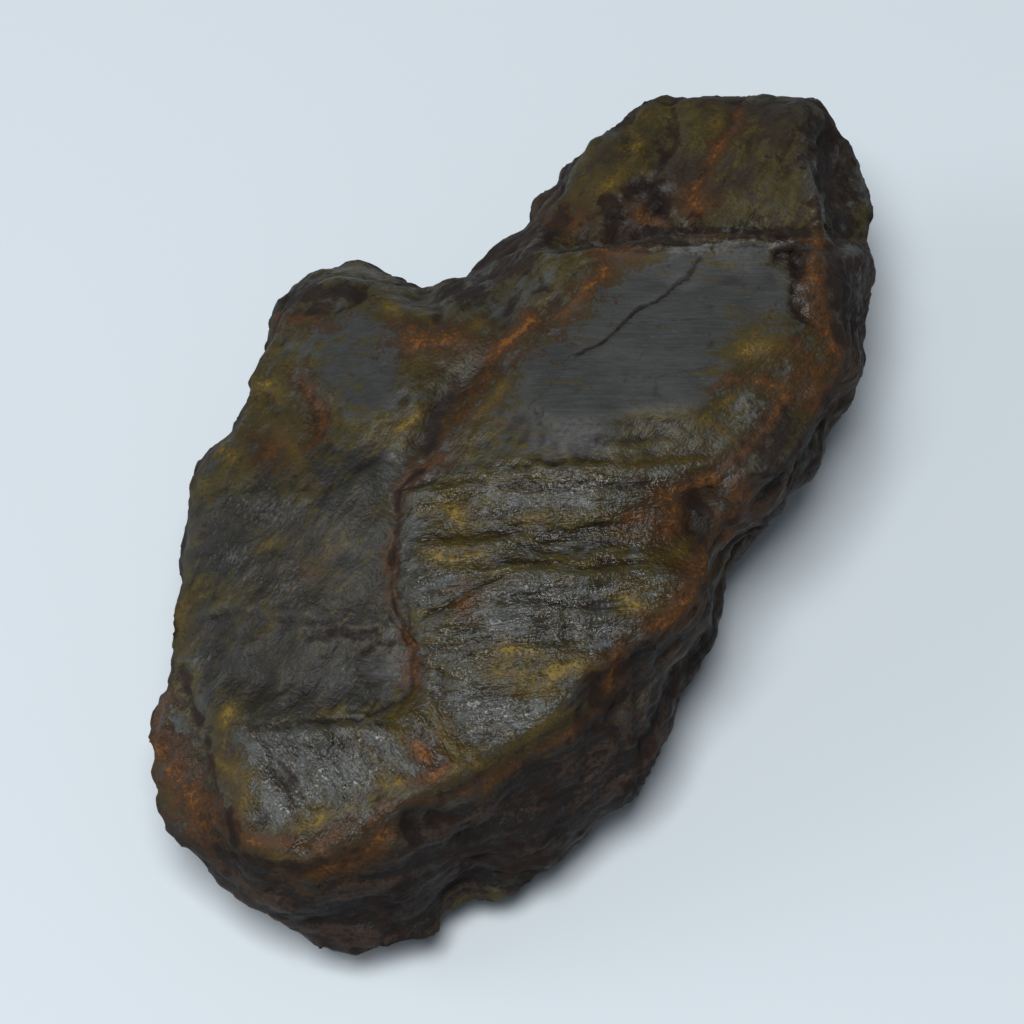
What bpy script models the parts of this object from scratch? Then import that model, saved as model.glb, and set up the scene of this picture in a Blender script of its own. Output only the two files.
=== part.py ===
"""A rough sapphire: one water-worn, iron-stained crystal fragment, lying on a flat parting face.

The stone is blocked out as a cage of facets: a top of flat facets and ledges inside its rim, and
walls that run from the rim over the girdle, the widest ring, to the sole that it rests on. The cage
is remeshed, its edges are worn round, and lumps, seams, ledges and pits are pressed into it.
Sizes are in millimetres until the last step. +Z is up, +Y runs along the stone, and the origin is
under the middle of the stone, on the surface that it lies on.
"""

import math

import bmesh
import bpy
from mathutils import Matrix, Vector, noise
from mathutils.geometry import delaunay_2d_cdt

MM = 0.001

# The rim, where the top meets the walls, as (x, y, height), anticlockwise from the front tip.
RIM = [
    (-0.4, -23.3, 9.0),
    (2.3, -20.3, 10.1),
    (4.1, -18.4, 10.8),
    (5.8, -16.5, 11.0),
    (8.1, -13.0, 11.8),
    (9.1, -10.4, 12.2),
    (9.8, -8.8, 12.3),
    (10.5, -7.2, 12.6),
    (11.6, -5.6, 12.5),
    (11.7, -4.2, 12.4),
    (11.2, -1.8, 12.1),
    (11.8, 0.3, 12.9),
    (12.5, 2.3, 13.3),
    (13.0, 5.3, 13.3),
    (13.8, 8.3, 13.0),
    (13.4, 9.6, 13.4),
    (12.3, 11.2, 14.2),
    (11.7, 12.4, 14.7),
    (10.7, 13.4, 15.2),
    (12.0, 16.6, 11.4),
    (9.7, 16.9, 12.4),
    (8.2, 19.2, 12.5),
    (8.0, 23.3, 11.4),
    (5.0, 23.6, 11.2),
    (2.5, 22.4, 11.0),
    (1.0, 22.0, 11.0),
    (-0.9, 20.6, 11.0),
    (-1.3, 18.8, 11.0),
    (-2.3, 17.6, 11.0),
    (-3.1, 15.4, 11.0),
    (-3.3, 13.0, 11.3),
    (-2.3, 9.2, 13.4),
    (-3.2, 6.7, 12.8),
    (-7.1, 6.4, 11.0),
    (-8.3, 6.0, 10.8),
    (-10.2, 6.0, 11.0),
    (-11.7, 5.3, 11.0),
    (-12.9, 3.6, 10.6),
    (-13.0, 0.2, 10.2),
    (-12.6, -4.4, 9.8),
    (-13.0, -7.4, 9.6),
    (-12.4, -10.4, 9.3),
    (-11.5, -13.6, 9.0),
    (-10.2, -17.0, 8.8),
    (-8.1, -18.0, 9.3),
    (-6.1, -20.1, 9.0),
    (-4.5, -22.2, 8.8),
    (-2.2, -23.4, 8.8),
]

# The girdle, the widest ring of the walls.
GIRDLE = [
    (1.7, -23.9, 2.4),
    (3.9, -23.5, 2.6),
    (5.6, -21.7, 2.4),
    (6.1, -19.6, 2.2),
    (8.4, -18.5, 2.5),
    (10.6, -15.0, 3.5),
    (11.8, -10.9, 4.0),
    (11.9, -8.3, 5.0),
    (12.0, -6.7, 5.0),
    (12.4, -3.6, 5.0),
    (12.0, 0.5, 6.0),
    (13.0, 4.4, 6.0),
    (13.4, 8.5, 6.5),
    (14.3, 10.3, 8.0),
    (14.0, 12.6, 8.0),
    (13.4, 14.8, 8.5),
    (12.8, 17.2, 9.0),
    (11.8, 18.3, 9.0),
    (11.1, 21.2, 8.5),
    (9.2, 22.9, 8.5),
    (7.1, 24.9, 9.0),
    (4.0, 24.7, 8.0),
    (1.2, 23.6, 8.0),
    (-1.3, 21.2, 8.0),
    (-3.1, 17.6, 8.0),
    (-4.8, 15.2, 8.0),
    (-4.7, 13.1, 8.5),
    (-5.2, 11.2, 8.5),
    (-5.6, 8.8, 8.5),
    (-7.3, 7.4, 8.5),
    (-10.3, 8.0, 8.0),
    (-11.8, 8.0, 8.0),
    (-13.3, 6.8, 8.0),
    (-14.1, 4.8, 8.0),
    (-13.5, 0.6, 7.0),
    (-13.1, -5.2, 7.0),
    (-12.8, -8.2, 7.0),
    (-12.0, -11.6, 7.0),
    (-10.6, -16.2, 7.5),
    (-10.8, -18.8, 7.0),
    (-9.7, -21.2, 6.5),
    (-8.6, -22.4, 6.0),
    (-7.4, -23.0, 5.5),
    (-6.2, -23.4, 5.0),
    (-5.0, -24.0, 4.2),
    (-2.9, -24.5, 4.0),
    (-0.7, -24.3, 3.5),
]

# The sole, the outline of the parting face that the stone lies on. The far end rises off it.
SOLE = [
    (2.0, -20.0),
    (6.5, -13.5),
    (8.0, -4.5),
    (9.5, 2.0),
    (9.0, 10.5),
    (6.0, 14.0),
    (1.0, 12.0),
    (-3.0, 8.0),
    (-7.5, 2.5),
    (-9.0, -5.5),
    (-7.0, -14.5),
    (-4.0, -19.5),
]
SOLE_DEPTH = -0.15  # the cage reaches a little under the resting plane, which then cuts it flat

# Lines of corners on the top, each a crease or an edge between two facets.
LEDGE_EDGE = [
    (-1.2, 7.9, 14.5),
    (1.1, 9.4, 15.0),
    (3.2, 10.4, 15.3),
    (5.5, 11.6, 15.6),
    (7.4, 12.5, 15.7),
    (9.5, 13.1, 15.5),
]
LEDGE_FOOT = [
    (-1.4, 9.6, 12.7),
    (0.7, 10.6, 12.6),
    (2.9, 11.5, 12.5),
    (5.2, 12.7, 12.4),
    (7.1, 13.6, 12.4),
    (9.2, 14.3, 12.3),
    (10.6, 14.8, 12.3),
]
SEAM = [
    (-2.2, 5.6, 13.4),
    (-2.0, 3.4, 13.3),
    (-2.3, -0.1, 13.1),
    (-3.2, -2.8, 12.9),
    (-3.5, -4.6, 12.7),
    (-2.5, -7.2, 12.5),
    (-1.5, -10.3, 11.9),
    (-0.1, -12.3, 11.4),
    (0.9, -13.7, 11.1),
    (0.4, -14.9, 10.9),
]
SEAM_LIP = [
    (-0.9, 5.9, 14.2),
    (-0.7, 3.2, 14.1),
    (-1.0, -0.6, 13.8),
    (-2.0, -3.2, 13.3),
    (-2.4, -4.8, 13.0),
    (-1.4, -7.4, 12.8),
    (-0.4, -10.4, 12.3),
    (1.0, -12.2, 11.8),
]
BROW = [(0.5, -3.4, 13.9), (2.9, -2.6, 14.2), (6.3, -1.4, 14.4), (8.6, 0.2, 14.0), (10.2, 1.6, 13.8)]
BROW_FOOT = [(1.3, -6.0, 13.1), (3.4, -5.4, 13.2), (5.6, -4.7, 13.2), (8.4, -3.2, 13.0)]
TERRACE_EDGE = [
    (0.9, -10.9, 12.4),
    (2.9, -9.1, 12.9),
    (4.4, -7.8, 13.2),
    (6.5, -6.7, 13.3),
    (9.2, -5.8, 13.1),
]
STEP_EDGE = [(4.0, -12.4, 12.0), (6.2, -11.3, 12.3), (8.4, -10.1, 12.4)]
STEP_FOOT = [(4.3, -13.1, 11.6), (6.6, -12.1, 11.9)]
NOSE_EDGE = [
    (-6.7, -17.9, 9.8),
    (-4.2, -18.0, 10.5),
    (-1.7, -17.8, 10.9),
    (0.7, -16.2, 11.1),
    (2.4, -14.6, 11.4),
]
NOSE_FOOT = [
    (-3.9, -20.6, 9.6),
    (-2.3, -21.8, 9.4),
    (-0.5, -21.8, 9.6),
    (1.0, -20.0, 10.1),
    (4.0, -17.4, 10.9),
]
DIP_EDGE = [(-9.6, -14.4, 9.7), (-7.2, -14.4, 10.6), (-3.9, -12.9, 11.5), (-2.2, -12.0, 11.5)]
DIP = [(-7.6, -16.3, 9.7), (-4.4, -15.9, 10.4), (-1.7, -15.0, 10.6)]
KNOB_BROW = [(-12.0, 0.9, 10.8), (-11.1, 2.3, 11.4), (-9.6, 3.5, 11.8), (-7.6, 3.4, 12.3)]
KNOB_CREASE = [
    (-10.5, -0.6, 11.3),
    (-9.4, -1.5, 11.5),
    (-8.5, -2.6, 11.8),
    (-6.8, -3.6, 12.3),
]
FLANK_EDGE = [(-11.0, -7.4, 10.9), (-8.8, -6.5, 11.8), (-6.4, -5.9, 12.4)]
TOP_LINES = (
    LEDGE_EDGE,
    LEDGE_FOOT,
    SEAM,
    SEAM_LIP,
    BROW,
    BROW_FOOT,
    TERRACE_EDGE,
    STEP_EDGE,
    STEP_FOOT,
    NOSE_EDGE,
    NOSE_FOOT,
    DIP_EDGE,
    DIP,
    KNOB_BROW,
    KNOB_CREASE,
    FLANK_EDGE,
)

# Corners inside the facets.
TOP_POINTS = [
    (2.6, 3.0, 14.9),
    (6.8, 5.6, 15.1),
    (9.8, 9.4, 15.0),
    (10.8, 5.0, 14.2),
    (-0.8, 15.4, 12.4),
    (2.2, 16.4, 12.7),
    (5.4, 17.2, 13.0),
    (3.4, 20.2, 12.4),
    (6.0, 21.4, 12.3),
    (-4.4, 4.6, 12.9),
    (-5.6, 2.2, 13.0),
    (-4.6, -1.6, 13.2),
    (-5.2, -9.6, 12.0),
    (-9.0, -10.6, 11.0),
    (-11.4, -4.6, 10.6),
    (2.0, -1.0, 14.2),
]

# Wear and relief.
CAGE_ANGLES = 180  # how many radial lines the rings are cut into
SAME_ANGLE = 0.001  # radial lines closer than this, in radians, are one
SAME_CORNER = 1e-5
INSIDE = 1  # the triangulation's mode that keeps only what is inside the rim
VOXEL = 0.4
WEAR_PASSES = 2
LUMP_SIZE, LUMP_HEIGHT = 5.0, 0.2
KNOB_SIZE, KNOB_HEIGHT = 1.8, 0.1
WALL_ROUGHNESS = 4.0  # how much more the walls are lumped than the top
SHEET_PITCH, SHEET_DEPTH = 1.7, 0.9  # the parting sheets whose edges step the walls
SHEET_RUN = 7.0  # how far along the wall one sheet's edge stands out before it steps back
SHEET_BREAK = 0.3  # the share of the pitch in which one sheet's edge gives way to the next
BEND_SIZE, BEND_HEIGHT, SHEET_DIP = 8.0, 1.6, 0.1  # how the sheets wave, and fall towards +X
HOLLOW_SIZE, HOLLOW_DEPTH = 6.0, 1.0  # the shallow hollows between which the sole rests
SEAM_WIDTH, SEAM_DEPTH = 0.5, 0.2
LAYER_STEP = Vector((3.1, 5.3, 3.7))  # how far apart two layers of noise are read
TRIANGLES = 9000
WELD, SLIVER = 0.05, 0.01  # corners and edges closer or shorter than these are made one
FLAT = 0.03  # corners closer than this to the resting plane are on it

# Pits and chips: centre, radius and depth.
PITS = [
    ((10.6, -1.2, 12.8), 1.8, 1.0),
    ((10.0, 12.4, 15.4), 0.9, 0.6),
    ((10.2, 20.0, 10.6), 2.0, 0.35),
    ((10.9, 17.4, 10.2), 1.4, 0.4),
    ((2.2, 12.9, 12.6), 1.6, 0.6),
    ((-2.4, 11.6, 11.6), 1.5, 0.5),
    ((-9.4, -20.4, 7.6), 1.4, 0.5),
    ((7.4, -16.6, 7.6), 1.8, 0.4),
    ((11.6, -8.2, 9.0), 1.3, 0.6),
    ((-7.3, 5.8, 11.2), 1.5, 0.5),
    ((-13.0, -2.6, 6.0), 2.6, 0.7),
    ((-3.8, 17.0, 5.5), 2.4, 0.6),
    ((13.4, 5.6, 9.4), 1.7, 0.5),
]


def clear_scene():
    for obj in list(bpy.data.objects):
        bpy.data.objects.remove(obj)


def on_ring(ring, angle):
    """Where the radial line at this angle crosses a ring of corners, as a point of the ring."""
    ray = Vector((math.cos(angle), math.sin(angle)))
    for start, end in zip(ring, ring[1:] + ring[:1]):
        a, b = Vector(start), Vector(end)
        side_a, side_b = ray.cross(a.xy), ray.cross(b.xy)
        if side_a <= 0 < side_b and ray.dot(a.xy + b.xy) > 0:
            return a.lerp(b, side_a / (side_a - side_b))
    raise ValueError(f"the ring has no side at {math.degrees(angle):.1f} degrees")


def ring_angles(*rings):
    """Every angle at which the cage has a radial line: even steps, and one for each corner."""
    even = [2 * math.pi * i / CAGE_ANGLES for i in range(CAGE_ANGLES)]
    corners = [math.atan2(p[1], p[0]) % (2 * math.pi) for ring in rings for p in ring]
    kept = []
    for angle in sorted(corners + even):
        if not kept or angle - kept[-1] > SAME_ANGLE:
            kept.append(angle)
    return kept


def top_surface(rim):
    """The corners and triangles of the top, between the rim and the lines and points within it."""
    corners = list(rim)
    edges = [(i, (i + 1) % len(rim)) for i in range(len(rim))]
    for line in TOP_LINES:
        first = len(corners)
        corners += [Vector(p) for p in line]
        edges += [(first + i, first + i + 1) for i in range(len(line) - 1)]
    corners += [Vector(p) for p in TOP_POINTS]
    flat_corners = [c.xy for c in corners]
    flat, _, faces, sources, _, _ = delaunay_2d_cdt(flat_corners, edges, [], INSIDE, SAME_CORNER)
    heights = [sum(corners[s].z for s in source) / len(source) for source in sources]
    return [Vector((p.x, p.y, z)) for p, z in zip(flat, heights)], faces, sources


def build_cage():
    """The closed cage: the top, the walls through the girdle, and the sole."""
    sole = [(x, y, SOLE_DEPTH) for x, y in SOLE]
    angles = ring_angles(RIM, GIRDLE, sole)
    rim, girdle, foot = ([on_ring(ring, a) for a in angles] for ring in (RIM, GIRDLE, sole))
    count = len(angles)
    points, faces, sources = top_surface(rim)
    found = {s: i for i, source in enumerate(sources) for s in source}

    cage = bmesh.new()
    top = [cage.verts.new(p) for p in points]
    for face in faces:
        cage.faces.new([top[i] for i in face])
    rings = [[top[found[i]] for i in range(count)]]
    rings += [[cage.verts.new(p) for p in ring] for ring in (girdle, foot)]
    for upper, lower in zip(rings, rings[1:]):
        for i in range(count):
            j = (i + 1) % count
            cage.faces.new((upper[i], lower[i], lower[j], upper[j]))
    cage.faces.new(list(reversed(rings[-1])))
    bmesh.ops.triangulate(cage, faces=list(cage.faces))
    bmesh.ops.recalc_face_normals(cage, faces=list(cage.faces))
    return cage


def worn(cage):
    """The cage as an even mesh with its edges worn round."""
    mesh = bpy.data.meshes.new("cage")
    cage.to_mesh(mesh)
    cage.free()
    stone = bpy.data.objects.new("cage", mesh)
    bpy.context.scene.collection.objects.link(stone)
    remesh = stone.modifiers.new("even_mesh", "REMESH")
    remesh.mode = "VOXEL"
    remesh.voxel_size = VOXEL
    wear = stone.modifiers.new("wear", "SMOOTH")
    wear.factor = 0.5
    wear.iterations = WEAR_PASSES
    return stone


def evaluated_bmesh(obj):
    graph = bpy.context.evaluated_depsgraph_get()
    evaluated = obj.evaluated_get(graph)
    shape = bmesh.new()
    shape.from_mesh(evaluated.to_mesh())
    evaluated.to_mesh_clear()
    return shape


def line_distance(point, line):
    """How far a point is from a line of corners."""
    nearest = math.inf
    for start, end in zip(line, line[1:]):
        a, b = Vector(start), Vector(end)
        share = max(0.0, min(1.0, (point - a).dot(b - a) / (b - a).length_squared))
        nearest = min(nearest, (point - a.lerp(b, share)).length)
    return nearest


def groove(point, line, width, depth):
    """How deep a groove along a line is at a point."""
    distance = line_distance(point, line) / width
    return depth * math.exp(-distance * distance)


def lumps(point, size, layer=0):
    """Smooth noise from -1 to 1 with lumps of this size. Each layer has lumps of its own."""
    return noise.noise(point / size + layer * LAYER_STEP)


def sheet_edge(point):
    """How far the edge of the parting sheet at this height stands out of the wall, or steps back."""
    level = (point.z + BEND_HEIGHT * lumps(point, BEND_SIZE) + SHEET_DIP * point.x) / SHEET_PITCH
    sheet = math.floor(level)
    spot = Vector((point.x, point.y, 0))
    edge, next_edge = (lumps(spot, SHEET_RUN, layer) for layer in (sheet, sheet + 1))
    given_way = max(0, level - sheet - (1 - SHEET_BREAK)) / SHEET_BREAK
    return SHEET_DEPTH * (edge + (next_edge - edge) * given_way)


def relief(point, normal):
    """How far the surface stands out of the worn cage at a point, along its normal."""
    steepness = 1 - abs(normal.z)
    rough = 1 + (WALL_ROUGHNESS - 1) * steepness
    height = LUMP_HEIGHT * rough * lumps(point, LUMP_SIZE)
    height += KNOB_HEIGHT * rough * lumps(point, KNOB_SIZE)
    height += steepness * sheet_edge(point)
    height += HOLLOW_DEPTH * max(0, -normal.z) * lumps(point, HOLLOW_SIZE)
    height -= groove(point, SEAM, SEAM_WIDTH, SEAM_DEPTH)
    for centre, radius, depth in PITS:
        near = (point - Vector(centre)).length / radius
        if near < 1:
            height -= depth * (1 - near * near) ** 2
    return height


def rest_on_sole(shape):
    """Flattens what reaches below the resting plane onto it."""
    for vertex in shape.verts:
        vertex.co.z = max(vertex.co.z, 0)
    bmesh.ops.remove_doubles(shape, verts=shape.verts, dist=WELD)
    bmesh.ops.dissolve_degenerate(shape, edges=shape.edges, dist=SLIVER)


def thinned(shape, name):
    """The shape as an object with about TRIANGLES faces, kept where the surface turns."""
    mesh = bpy.data.meshes.new(name)
    shape.to_mesh(mesh)
    count = sum(len(p.vertices) - 2 for p in mesh.polygons)
    shape.free()
    obj = bpy.data.objects.new(name, mesh)
    bpy.context.scene.collection.objects.link(obj)
    thin = obj.modifiers.new("thin", "DECIMATE")
    thin.ratio = TRIANGLES / count
    thin.use_collapse_triangulate = True
    return obj


def sapphire_material():
    material = bpy.data.materials.new("iron_stained_corundum")
    material.use_nodes = True
    shader = material.node_tree.nodes["Principled BSDF"]
    shader.inputs["Base Color"].default_value = (0.062, 0.058, 0.048, 1)
    shader.inputs["Roughness"].default_value = 0.42
    shader.inputs["Metallic"].default_value = 0.0
    shader.inputs["IOR"].default_value = 1.77
    return material


def build_sapphire():
    cage = worn(build_cage())
    shape = evaluated_bmesh(cage)
    shape.normal_update()
    moves = [vertex.normal * relief(vertex.co, vertex.normal) for vertex in shape.verts]
    for vertex, move in zip(shape.verts, moves):
        vertex.co += move
    rest_on_sole(shape)
    rough = thinned(shape, "rough")
    shape = evaluated_bmesh(rough)
    for vertex in shape.verts:
        if vertex.co.z < FLAT:
            vertex.co.z = 0
    for helper in (cage, rough):
        bpy.data.objects.remove(helper)

    low = Vector(min(v.co[i] for v in shape.verts) for i in range(3))
    high = Vector(max(v.co[i] for v in shape.verts) for i in range(3))
    middle = (low + high) / 2
    bmesh.ops.translate(shape, vec=(-middle.x, -middle.y, -low.z), verts=shape.verts)
    bmesh.ops.transform(shape, matrix=Matrix.Scale(MM, 4), verts=shape.verts)
    bmesh.ops.triangulate(shape, faces=[f for f in shape.faces if len(f.verts) > 3])

    mesh = bpy.data.meshes.new("sapphire")
    shape.to_mesh(mesh)
    shape.free()
    mesh.materials.append(sapphire_material())
    sapphire = bpy.data.objects.new("sapphire", mesh)
    bpy.context.scene.collection.objects.link(sapphire)
    return sapphire


clear_scene()
build_sapphire()
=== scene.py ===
"""The looks of a rough sapphire: its worn and broken surface, its iron stains, and the studio round it."""

import math

import bpy
import numpy as np
from mathutils import Matrix, Vector, noise


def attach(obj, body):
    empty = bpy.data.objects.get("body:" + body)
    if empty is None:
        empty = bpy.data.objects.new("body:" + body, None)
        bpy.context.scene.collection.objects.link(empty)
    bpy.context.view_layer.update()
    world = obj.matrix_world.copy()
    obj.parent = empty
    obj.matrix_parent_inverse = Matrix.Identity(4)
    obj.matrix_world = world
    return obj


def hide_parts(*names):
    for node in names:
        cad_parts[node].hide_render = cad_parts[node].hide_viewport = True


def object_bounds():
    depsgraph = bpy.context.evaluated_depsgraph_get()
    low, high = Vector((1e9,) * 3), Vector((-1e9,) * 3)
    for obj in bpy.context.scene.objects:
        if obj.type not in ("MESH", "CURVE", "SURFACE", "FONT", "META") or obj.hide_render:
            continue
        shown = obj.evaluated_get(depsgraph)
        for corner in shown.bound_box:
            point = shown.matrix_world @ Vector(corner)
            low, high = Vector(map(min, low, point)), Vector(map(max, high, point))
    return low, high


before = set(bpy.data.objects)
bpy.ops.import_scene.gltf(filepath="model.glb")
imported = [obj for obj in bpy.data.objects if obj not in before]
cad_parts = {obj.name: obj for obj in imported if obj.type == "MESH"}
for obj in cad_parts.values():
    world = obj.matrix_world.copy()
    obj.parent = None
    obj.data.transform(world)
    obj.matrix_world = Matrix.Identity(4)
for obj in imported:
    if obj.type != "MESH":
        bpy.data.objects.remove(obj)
cad_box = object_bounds()
MM = 0.001  # in metres


# ---- Camera ----
# It looks down on the stone's main face from in front and a little to the right, from far enough off
# that the stone isn't foreshortened. The marks on the main face are laid out as they look from here.

CAMERA_AZIMUTH, CAMERA_ELEVATION = math.radians(23), math.radians(62)
CAMERA_DISTANCE = 200 * MM
CAMERA_TARGET = Vector((1.78, -3.73, 11.0)) * MM
FRAME_WIDTH = 48.76 * MM  # what the picture takes in at the target's distance
SENSOR_MM = 36.0

back = Vector((
    math.sin(CAMERA_AZIMUTH) * math.cos(CAMERA_ELEVATION),
    -math.cos(CAMERA_AZIMUTH) * math.cos(CAMERA_ELEVATION),
    math.sin(CAMERA_ELEVATION),
))
right = Vector((math.cos(CAMERA_AZIMUTH), math.sin(CAMERA_AZIMUTH), 0))
up = back.cross(right)
eye = CAMERA_TARGET + back * CAMERA_DISTANCE

camera_data = bpy.data.cameras.new("camera")
camera_data.sensor_width = SENSOR_MM
camera_data.lens = SENSOR_MM * CAMERA_DISTANCE / FRAME_WIDTH
camera_data.clip_start = 10 * MM
camera = bpy.data.objects.new("camera", camera_data)
camera.matrix_world = Matrix.Translation(eye) @ Matrix((right, up, back)).transposed().to_4x4()
bpy.context.scene.collection.objects.link(camera)
bpy.context.scene.camera = camera


# ---- The stone's body ----
# One piece of corundum, tumbled until its edges are round but its ledges still show. It starts as
# the solid stone, is meshed evenly and worn, and is meshed finer along its sharp lines.

FINE = 0.22 * MM  # the size of the mesh's faces
SAME_PLACE = 0.001 * MM
WEAR_PASSES = 12
TOWARDS_VIEW = 0.2  # how far a face leans towards the camera before its lines are meshed finer

# Lines on the main face, in millimetres right of and above the middle of the camera's view.
LEDGE = [(1.6, 12.4), (4.2, 12.5), (6.6, 12.7), (9.0, 13.0), (11.8, 13.0), (13.7, 13.1)]
SEAM = [
    (-4.2, 2.2), (-5.2, 1.5), (-5.4, 0.0), (-5.6, -1.8), (-5.9, -3.0), (-5.6, -4.6), (-5.2, -5.8),
    (-4.7, -6.8), (-4.9, -8.0), (-5.2, -8.9), (-6.4, -9.4), (-7.6, -9.4),
]
CRACK = [
    (9.0, 12.3), (8.7, 11.8), (8.4, 11.4), (7.7, 11.0), (7.2, 10.4), (6.8, 10.15), (6.2, 9.9), (5.8, 9.6),
    (5.4, 9.2), (5.0, 8.8), (4.7, 8.5), (4.3, 8.2), (3.2, 7.6),
]


def ease(low, high, value):
    """0 below low, 1 above high, and smooth between."""
    share = np.clip((value - low) / (high - low), 0, 1)
    return share * share * (3 - 2 * share)


def corners(obj):
    """An object's corners and their normals, in millimetres and as unit vectors."""
    count = len(obj.data.vertices)
    places, normals = np.empty(count * 3), np.empty(count * 3)
    obj.data.vertices.foreach_get("co", places)
    obj.data.vertex_normals.foreach_get("vector", normals)
    return places.reshape(-1, 3) / MM, normals.reshape(-1, 3)


def move_corners(obj, places):
    obj.data.vertices.foreach_set("co", (places * MM).ravel())
    obj.data.update()


def seen(places):
    """Where points, in millimetres, lie in the camera's view: millimetres right and up."""
    offset = places - np.array(eye / MM)
    depth = -(offset @ np.array(back)) / (CAMERA_DISTANCE / MM)
    return np.stack([offset @ np.array(right) / depth, offset @ np.array(up) / depth], axis=1)


def line_offset(spots, line):
    """The distance of each spot from a line, and whether it is on the line's left (1) or right (-1)."""
    nearest = np.full(len(spots), np.inf)
    side = np.ones(len(spots))
    line = np.array(line if len(line) > 1 else line * 2, float)
    for start, end in zip(line, line[1:]):
        run = end - start
        share = np.clip((spots - start) @ run / max(run @ run, 1e-9), 0, 1)
        away = spots - start - share[:, None] * run
        distance = np.hypot(away[:, 0], away[:, 1])
        closer = distance < nearest
        turn = run[0] * away[:, 1] - run[1] * away[:, 0]
        side[closer] = np.where(turn[closer] < 0, -1, 1)
        nearest = np.minimum(nearest, distance)
    return nearest, side


def select_faces(obj, chosen):
    obj.data.vertices.foreach_set("select", np.zeros(len(obj.data.vertices), bool))
    obj.data.edges.foreach_set("select", np.zeros(len(obj.data.edges), bool))
    obj.data.polygons.foreach_set("select", chosen)


def add_modifier(kind, **settings):
    """Adds a modifier to the active object and applies it."""
    modifier = bpy.context.object.modifiers.new(kind.lower(), kind)
    for name, value in settings.items():
        setattr(modifier, name, value)
    bpy.ops.object.modifier_apply(modifier=modifier.name)


stone = bpy.data.objects.new("rough_sapphire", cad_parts["sapphire"].data.copy())
bpy.context.scene.collection.objects.link(stone)
bpy.ops.object.select_all(action="DESELECT")
bpy.context.view_layer.objects.active = stone
stone.select_set(True)
stone.data.materials.clear()

bpy.ops.object.mode_set(mode="EDIT")
bpy.ops.mesh.select_all(action="SELECT")
bpy.ops.mesh.remove_doubles(threshold=SAME_PLACE)
bpy.ops.object.mode_set(mode="OBJECT")
add_modifier("REMESH", mode="VOXEL", voxel_size=FINE, use_smooth_shade=True)
add_modifier("SMOOTH", factor=0.5, iterations=WEAR_PASSES)

SHARP_LINES = ((LEDGE, 0.8), (SEAM, 0.6), (CRACK, 0.35))  # and how far round each the mesh is finer
places, normals = corners(stone)
near_sharp = np.zeros(len(places), bool)
for line, reach in SHARP_LINES:
    near_sharp |= line_offset(seen(places), line)[0] < reach
near_sharp &= normals @ np.array(back) > TOWARDS_VIEW
loops = np.empty(len(stone.data.loops), int)
stone.data.loops.foreach_get("vertex_index", loops)
starts = np.empty(len(stone.data.polygons), int)
stone.data.polygons.foreach_get("loop_start", starts)
select_faces(stone, np.logical_and.reduceat(near_sharp[loops], starts))
bpy.context.tool_settings.mesh_select_mode = (False, False, True)
bpy.ops.object.mode_set(mode="EDIT")
bpy.ops.mesh.subdivide(number_cuts=1, ngon=False)
bpy.ops.object.mode_set(mode="OBJECT")


# ---- The stone's relief ----
# What wear and parting left on it: flat chips, drawn out along a grain that runs differently on each
# facet, the edges of thin sheets that step the walls, low steps across the main face, the lip of the
# ledge, the seam, the crack and the pits.

# Outlines on the main face, in the same millimetres as the lines above.
TERRACES = [
    (-4.1, 1.6), (2.3, 2.4), (9.0, 2.2), (8.5, -1.3), (8.0, -3.7), (6.1, -6.1), (4.2, -7.1),
    (0.0, -8.2), (-4.4, -7.4), (-5.2, -2.3),
]
FLANK = [
    (-15.3, 2.0), (-10.1, 3.3), (-6.3, 3.4), (-5.6, -4.2), (-6.1, -6.1), (-5.4, -9.4), (-10.1, -10.0),
    (-14.1, -10.0), (-15.8, -5.1),
]
SLATE = [
    (4.6, 12.6), (6.1, 12.9), (9.0, 13.2), (12.6, 13.3), (13.3, 10.4), (13.6, 8.4), (11.6, 8.0),
    (10.4, 6.2), (9.2, 4.6), (4.8, 4.0), (1.8, 3.8), (0.0, 4.8), (0.2, 6.6), (1.8, 8.4), (3.4, 10.2),
]
KNOB_FACE = [(-9.6, 8.8), (-7.3, 9.7), (-5.4, 8.8), (-5.6, 4.8), (-6.9, 4.4), (-8.3, 5.2), (-9.4, 6.9)]
NOSE = [
    (-13.4, -9.9), (-9.1, -10.2), (-6.1, -10.0), (-4.0, -9.2), (-1.8, -11.6), (-3.7, -12.5),
    (-7.0, -13.4), (-9.2, -14.0), (-10.2, -15.1), (-12.6, -14.8), (-12.6, -12.4),
]
NOSE_RIGHT = [(-4.5, -7.9), (-0.1, -8.2), (4.0, -8.2), (2.9, -9.6), (0.0, -11.2), (-1.8, -11.8), (-3.4, -9.6)]
SCOOP = [(-7.4, -7.0), (-6.2, -6.8), (-5.3, -7.2), (-5.3, -8.2), (-6.4, -8.6), (-7.2, -8.0)]
FLAT_FACES = (SLATE, KNOB_FACE, SCOOP)
BACK_BLOCK = [
    (1.5, 13.0), (3.5, 17.0), (7.5, 20.0), (14.7, 19.7), (14.0, 15.0), (14.5, 13.4), (9.0, 13.3), (5.0, 12.9),
]
FRONT_WALL = [  # the near wall where it leans back enough to pass for a part of the top
    (-13.0, -18.0), (-9.6, -17.8), (-4.4, -16.0), (-1.0, -14.4), (2.2, -12.8), (4.4, -10.8), (8.0, -8.0),
    (8.5, -14.0), (0.0, -20.0), (-8.0, -23.0),
]

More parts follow.
